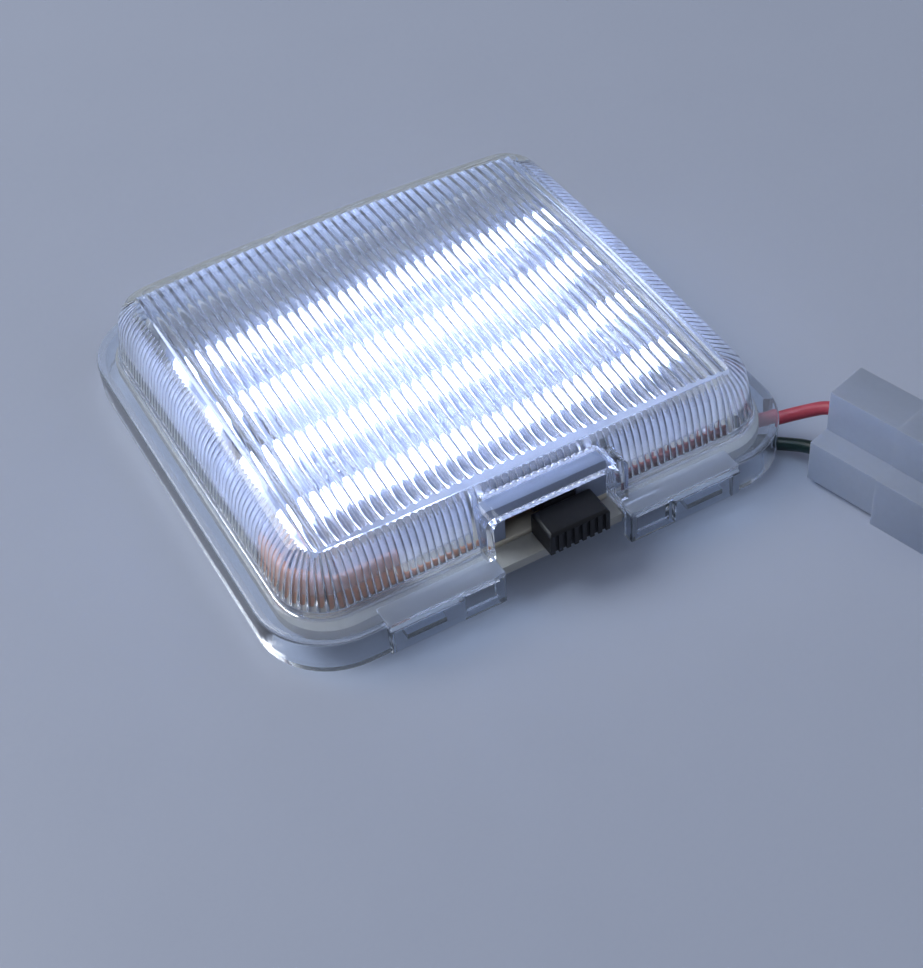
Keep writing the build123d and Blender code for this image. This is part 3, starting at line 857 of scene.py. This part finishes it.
    def clip_block(self, side: int) -> tuple[list[bpy.types.Object], list[bpy.types.Object]]:
        """Makes one clip block beside the notch.

        Args:
            side: -1 for the left block and 1 for the right one.

        Returns:
            Solids to join and solids to remove.
        """
        notch_edge = self.notch[0] if side < 0 else self.notch[1]

        def box(name: str, span: Place, y: Place, z: Place, edge: float = 0.0) -> bpy.types.Object:
            low, high = sorted(notch_edge + side * distance for distance in span)
            return Maker.block(name, (low, y[0], z[0]), (high, y[1], z[1]), edge)

        front = -self.block_front
        pad_front = front - self.pad_proud
        inner = front + self.block_wall
        pad_start = self.block_length - self.pad_length
        body = box("block", (0.0, self.block_length), (front, -self.hood_front + self.block_wall),
                   (self.rim_low, self.block_top), self.block_edge)
        pad = box("pad", (pad_start, self.block_length), (pad_front, inner), self.pad_heights,
                  self.pad_edge)
        room = box("room", (self.block_wall, self.block_length - self.block_wall),
                   (inner, -self.hood_front + self.rim_wall), (0.0, self.flange_under))
        window = box("window", (self.block_wall, pad_start - self.block_wall / 2),
                     (pad_front, -self.hood_front), self.window_heights)
        return [body, pad], [room, window]

    def hood(self, wall: float, low: float, front: float, top: float) -> bpy.types.Object:
        """Makes the hood's block, or with no wall the opening in it.

        Args:
            wall: Thickness of the hood's legs beyond the notch.
            low: Height of the foot.
            front: Distance of the front face before the lamp's axis.
            top: Height of the top.

        Returns:
            The solid to join or to remove.
        """
        left, right = self.notch[0] - wall, self.notch[1] + wall
        corners = ((right - self.hood_edge, 0.0), (left + self.hood_edge, QUARTER_TURN))
        arch = [(right, low)]
        for corner_x, start in corners:
            for step in range(self.hood_edge_steps + 1):
                angle = start + QUARTER_TURN * step / self.hood_edge_steps
                arch.append((corner_x + self.hood_edge * math.cos(angle),
                             top - self.hood_edge + self.hood_edge * math.sin(angle)))
        arch.append((left, low))
        back = -self.dome.half_depth + self.dome_edge
        return Maker.stack("hood", [[(x, y, z) for x, z in arch] for y in (back, -front)])

    def wire_exit(self) -> bpy.types.Object:
        """Makes the cut for the leads through the rim at the front right corner.

        Returns:
            The solid to remove.
        """
        half = self.exit_width / 2
        low, high = (0.0, -half, self.cut_low), (self.exit_reach, half, self.exit_top)
        cut = Maker.block("exit", low, high)
        corner = Vector((self.rim.half_width - self.rim.radius,
                         self.rim.radius - self.rim.half_depth, 0.0))
        turn = Matrix.Rotation(math.radians(self.exit_angle), 4, "Z")
        cut.data.transform(Matrix.Translation(corner * MM) @ turn)
        return cut

    def look(self, face: bpy.types.MeshPolygon) -> ClearFinish:
        """Tells which finish a face of the lens takes.

        Args:
            face: Face of the lens.

        Returns:
            The finish for the ribs, the painted shade of their valleys, the painted highlight of
            the crest over them, the flutes, the painted highlight lines on their steep sides or the
            rest.
        """
        x, y, z = (value / MM for value in face.center)
        normal = face.normal
        legs = (self.notch[0] - self.hood_wall, self.notch[1] + self.hood_wall)
        at_hood = y < self.dome_edge - self.dome.half_depth and legs[0] < x < legs[1]
        beyond = max(abs(x) - self.dome.half_width, abs(y) - self.dome.half_depth) > 0
        if at_hood or beyond or z < self.rib_start:
            return CLEAR
        if normal.x * x + normal.y * y < 0 and abs(normal.z) < self.upright_limit:
            at_side = abs(normal.x) > abs(normal.y)
            # Upright crest faces on the left and right walls take the painted highlight; rib
            # valleys take painted shade.
            return CREST_HIGHLIGHT if at_side and z > self.rib_crest else self.rib_look(normal, x, y)
        if normal.z > -self.upright_limit:
            return CLEAR
        tilt = math.degrees(normal.angle(Vector((0.0, 0.0, -1.0))))
        # Steep flute sides ahead of the lit end take the painted highlight lines.
        return FLUTE_HIGHLIGHT if tilt > self.flute_highlight_tilt and y < self.lit_end else FLUTED

    def rib_look(self, normal: Vector, x: float, y: float) -> ClearFinish:
        """Tells which finish a face of the ribbed wall takes by its turn against the wall.

        Args:
            normal: Outward direction of the face.
            x: Place of the face.
            y: Place of the face.

        Returns:
            The finish for a rib, or the dark tint of painted shade for a valley.
        """
        out = Vector((
            math.copysign(max(abs(x) + self.dome.radius - self.dome.half_width, 0.0), x),
            math.copysign(max(abs(y) + self.dome.radius - self.dome.half_depth, 0.0), y),
        ))
        turn = Vector((normal.x, normal.y)).angle(-out, 0.0)
        # Faces turned far from the wall, in the valleys, take the painted shade.
        return VALLEY_SHADE if math.degrees(turn) > self.valley_shade_tilt else RIBBED

    def paint(self, lens: bpy.types.Object) -> None:
        """Gives the lens its finishes.

        Args:
            lens: The finished shape.
        """
        finishes = (CLEAR, RIBBED, VALLEY_SHADE, CREST_HIGHLIGHT, FLUTED, FLUTE_HIGHLIGHT)
        dress(lens, *finishes)
        for face in lens.data.polygons:
            face.material_index = finishes.index(self.look(face))

    def build(self) -> bpy.types.Object:
        """Builds the lens and dresses it.

        Returns:
            The finished piece in place of the plain solid.
        """
        lens = self.dome_block()
        left_add, left_cut = self.clip_block(-1)
        right_add, right_cut = self.clip_block(1)
        hood = self.hood(self.hood_wall, self.flange_under, self.hood_front, self.hood_top)
        for tool in (self.rim_block(), hood, *left_add, *right_add):
            Maker.combine(lens, tool, Cut.JOIN)
        skirt = self.rim.inset(self.rim_wall)
        skirt_room = Maker.prism("skirt_room", skirt, self.cut_low, self.flange_under)
        opening = self.hood(0.0, self.cut_low, self.opening_front, self.hood_top - self.hood_wall)
        for tool in (skirt_room, *left_cut, *right_cut, self.rib_core(), self.flute_core(),
                     opening, self.wire_exit()):
            Maker.combine(lens, tool, Cut.REMOVE)
        for x, front, back in self.hook_spans:
            low = (x - self.hook_length / 2, front, self.hook_heights[0])
            high = (x + self.hook_length / 2, back, self.hook_heights[1])
            Maker.combine(lens, Maker.block("hook", low, high), Cut.JOIN)
        Maker.smooth(lens, self.sharp_angle)
        self.paint(lens)
        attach(lens, Body.LAMP.value)
        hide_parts("lens_cover")
        return lens


@dataclass
class Dressing:
    """A CAD node that keeps its shape and takes a finish and softened edges."""

    node: str
    finish: Finish
    edge: float = 0.0
    edge_segments: int = 3
    edge_angle: float = 40.0
    weld_distance: float = 0.001
    sharp_angle: float = 30.0

    def build(self, nodes: dict[str, bpy.types.Object]) -> bpy.types.Object:
        """Dresses the node.

        Args:
            nodes: CAD nodes by name.

        Returns:
            The node.
        """
        thing = nodes[self.node]
        dress(thing, self.finish)
        weld = thing.modifiers.new("weld", "WELD")
        weld.merge_threshold = self.weld_distance * MM
        if self.edge:
            bevel = thing.modifiers.new("soft_edges", "BEVEL")
            bevel.width = self.edge * MM
            bevel.segments = self.edge_segments
            bevel.limit_method = "ANGLE"
            bevel.angle_limit = math.radians(self.edge_angle)
        Maker.smooth(thing, self.sharp_angle)
        return thing


@dataclass
class Group:
    """CAD nodes that are dressed together."""

    dressings: tuple[Dressing, ...]

    def build(self, nodes: dict[str, bpy.types.Object]) -> list[bpy.types.Object]:
        """Dresses every node of the group.

        Args:
            nodes: CAD nodes by name.

        Returns:
            The dressed pieces.
        """
        return [dressing.build(nodes) for dressing in self.dressings]


@dataclass
class Inside(Group):
    """Base, board and switch: every rigid piece that is seen through or under the lens."""

    dressings: tuple[Dressing, ...] = (
        # The base takes the cream darkened by painted shade.
        Dressing("base_housing", SHADED_CREAM, 0.12),
        Dressing("led_board", RESIST),
        Dressing("leds", PHOSPHOR),
        Dressing("resistors", CERAMIC),
        Dressing("board_screws", STEEL),
        Dressing("earth_strip", COPPER),
        Dressing("earth_link", STEEL),
        Dressing("door_strip", AGED_COPPER),
        Dressing("feed_strip", STEEL),
        Dressing("strip_rivets", STEEL),
        Dressing("terminal_board", FIBRE),
        Dressing("switch_terminals", COPPER),
        # The switch frame takes painted shade instead of the base's cream.
        Dressing("switch_frame", FRAME_SHADE, 0.15),
        Dressing("switch_rivets", STEEL),
        Dressing("switch_knob", BLACK, 0.15),
        Dressing("slider_contact", COPPER),
        Dressing("detent_spring", STEEL),
    )


@dataclass
class Connector(Group):
    """Stepped two-cell connector at the end of the leads."""

    dressings: tuple[Dressing, ...] = (
        Dressing("connector_housing", NYLON, 0.5),
        Dressing("connector_terminals", COPPER),
    )
    corner: Place = (51.4, -49.6)
    heading: float = -74.5
    cell_width: float = 8.4
    lower_across: float = -4.4
    upper_across: float = 0.0
    lower_height: float = 4.7
    upper_height: float = 11.8
    wire_depth: float = 6.0
    lead_in: float = 6.6

    def ends(self, across: float, height: float) -> list[Point]:
        """Gives the last two points of a lead, on the axis of its cell.

        Args:
            across: Near side of the cell, across the connector.
            height: Height of the lead.

        Returns:
            The point before the connector and the one where the lead ends in it.
        """
        angle = math.radians(self.heading)
        along = Vector((math.cos(angle), math.sin(angle)))
        side = Vector((-along.y, along.x))
        found = []
        for depth in (self.wire_depth - self.lead_in, self.wire_depth):
            place = Vector(self.corner) + along * depth + side * (across + self.cell_width / 2)
            found.append((place.x, place.y, height))
        return found


@dataclass
class Lead:
    """One insulated lead from its solder lug to the connector."""

    node: str
    slot: str
    finish: Finish
    route: Sequence[Point]
    diameter: float = 2.4
    curve_steps: int = 16
    round_steps: int = 6
    curve_order: int = 3

    def build(self, with_pieces: list[bpy.types.Object]) -> bpy.types.Object:
        """Draws the lead as one smooth curve.

        Args:
            with_pieces: Pieces on the lead's far end; not used.

        Returns:
            The curve in place of the plain tube.
        """
        data = bpy.data.curves.new(f"{self.node}_line", "CURVE")
        data.dimensions = "3D"
        data.resolution_u = self.curve_steps
        data.bevel_depth = self.diameter / 2 * MM
        data.bevel_resolution = self.round_steps
        data.use_fill_caps = True
        line = data.splines.new("NURBS")
        line.points.add(len(self.route) - 1)
        for knot, point in zip(line.points, self.route):
            knot.co = (*(value * MM for value in point), 1.0)
        line.order_u = self.curve_order
        line.use_endpoint_u = True
        lead = bpy.data.objects.new(f"{self.node}_line", data)
        bpy.context.scene.collection.objects.link(lead)
        dress(lead, self.finish)
        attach(lead, Body.LAMP.value)
        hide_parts(self.node)
        return lead


@dataclass
class Loom:
    """The two leads with their connector."""

    connector: Connector
    red_start: tuple[Point, ...] = (
        (27.0, -33.2, 3.3), (37.0, -33.2, 3.3), (46.6, -37.0, 3.0), (51.3, -41.4, 6.7)
    )
    green_start: tuple[Point, ...] = (
        (25.6, -36.4, 2.3), (33.8, -36.4, 2.3), (41.8, -37.6, 1.4), (47.6, -41.4, 1.4)
    )

    def build(self, nodes: dict[str, bpy.types.Object]) -> list[bpy.types.Object]:
        """Dresses the connector and draws both leads to it.

        Args:
            nodes: CAD nodes by name.

        Returns:
            The two leads.
        """
        plug = self.connector.build(nodes)
        red_end = self.connector.ends(self.connector.upper_across, self.connector.upper_height)
        green_end = self.connector.ends(self.connector.lower_across, self.connector.lower_height)
        red = Lead("red_wire", "red_sleeve", RED, (*self.red_start, *red_end))
        green = Lead("green_wire", "green_sleeve", GREEN, (*self.green_start, *green_end))
        return [lead.build(plug) for lead in (red, green)]


@dataclass(frozen=True)
class SoftLamp:
    """A round area lamp that is aimed at the part, with its power in watts."""

    name: str
    place: Point
    size: float
    power: float

    def build(self) -> None:
        """Hangs the lamp."""
        data = bpy.data.lights.new(self.name, "AREA")
        data.shape = "DISK"
        data.size = self.size * MM
        data.energy = self.power
        lamp = bpy.data.objects.new(self.name, data)
        lamp.location = Vector(self.place) * MM
        lamp.rotation_euler = (-lamp.location).to_track_quat("-Z", "Y").to_euler()
        bpy.context.scene.collection.objects.link(lamp)


@dataclass
class Studio:
    """Pale floor, soft lamps and the camera."""

    floor_half: float = 3000.0
    world_colour: Colour = (0.72, 0.8, 1.0)
    world_strength: float = 0.24
    eye: Point = (-98.28, -218.0, 221.16)
    azimuth: float = -25.4
    elevation: float = 45.1
    roll: float = -5.19
    lens: float = 65.88
    sensor: float = 36.0
    near: float = 10.0
    lamps: tuple[SoftLamp, ...] = (
        SoftLamp("key", (-700.0, 700.0, 1000.0), 900.0, 9.0),
        SoftLamp("fill", (900.0, -600.0, 900.0), 800.0, 0.6),
    )

    def build(self) -> None:
        """Sets up everything round the lamp."""
        self.lay_floor()
        for lamp in self.lamps:
            lamp.build()
        self.set_world()
        self.set_camera()

    def lay_floor(self) -> None:
        """Lays the floor under the lamp."""
        half = self.floor_half * MM
        corners = [(-half, -half, 0.0), (half, -half, 0.0), (half, half, 0.0), (-half, half, 0.0)]
        data = bpy.data.meshes.new("floor")
        data.from_pydata(corners, [], [(0, 1, 2, 3)])
        floor = bpy.data.objects.new("floor", data)
        bpy.context.scene.collection.objects.link(floor)
        dress(floor, PALE_FLOOR)

    def set_world(self) -> None:
        """Sets the even light from all round."""
        world = bpy.data.worlds.new("studio")
        world.use_nodes = True
        background = world.node_tree.nodes["Background"]
        background.inputs["Color"].default_value = (*self.world_colour, 1.0)
        background.inputs["Strength"].default_value = self.world_strength
        bpy.context.scene.world = world

    def set_camera(self) -> None:
        """Stands the camera where the photograph was taken from."""
        azimuth, elevation, roll = (
            math.radians(angle) for angle in (self.azimuth, self.elevation, self.roll)
        )
        back = Vector((math.sin(azimuth) * math.cos(elevation),
                       -math.cos(azimuth) * math.cos(elevation), math.sin(elevation)))
        level = Vector((math.cos(azimuth), math.sin(azimuth), 0.0))
        up = back.cross(level)
        right = level * math.cos(roll) + up * math.sin(roll)
        data = bpy.data.cameras.new("camera")
        data.lens = self.lens
        data.sensor_width = self.sensor
        data.clip_start = self.near * MM
        camera = bpy.data.objects.new("camera", data)
        turn = Matrix((right, back.cross(right), back)).transposed().to_4x4()
        camera.matrix_world = Matrix.Translation(Vector(self.eye) * MM) @ turn
        bpy.context.scene.collection.objects.link(camera)
        bpy.context.scene.camera = camera


def report(piece: str, make: Callable[[], Made]) -> Made:
    """Builds one piece and logs it.

    Args:
        piece: Name for the log.
        make: Function that builds the piece.

    Returns:
        What the function returns.
    """
    made = make()
    LOG.info("built %s", piece)
    return made


def main() -> None:
    """Builds the lamp and the studio round it."""
    logging.basicConfig(level=logging.INFO)
    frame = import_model()
    nodes = frame["nodes"]
    bpy.context.scene.view_settings.view_transform = "Standard"
    report("lens cover", LensCover().build)
    report("inside", lambda: Inside().build(nodes))
    report("leads and connector", lambda: Loom(Connector()).build(nodes))
    report("studio", Studio().build)


if __name__ == "__main__":
    main()
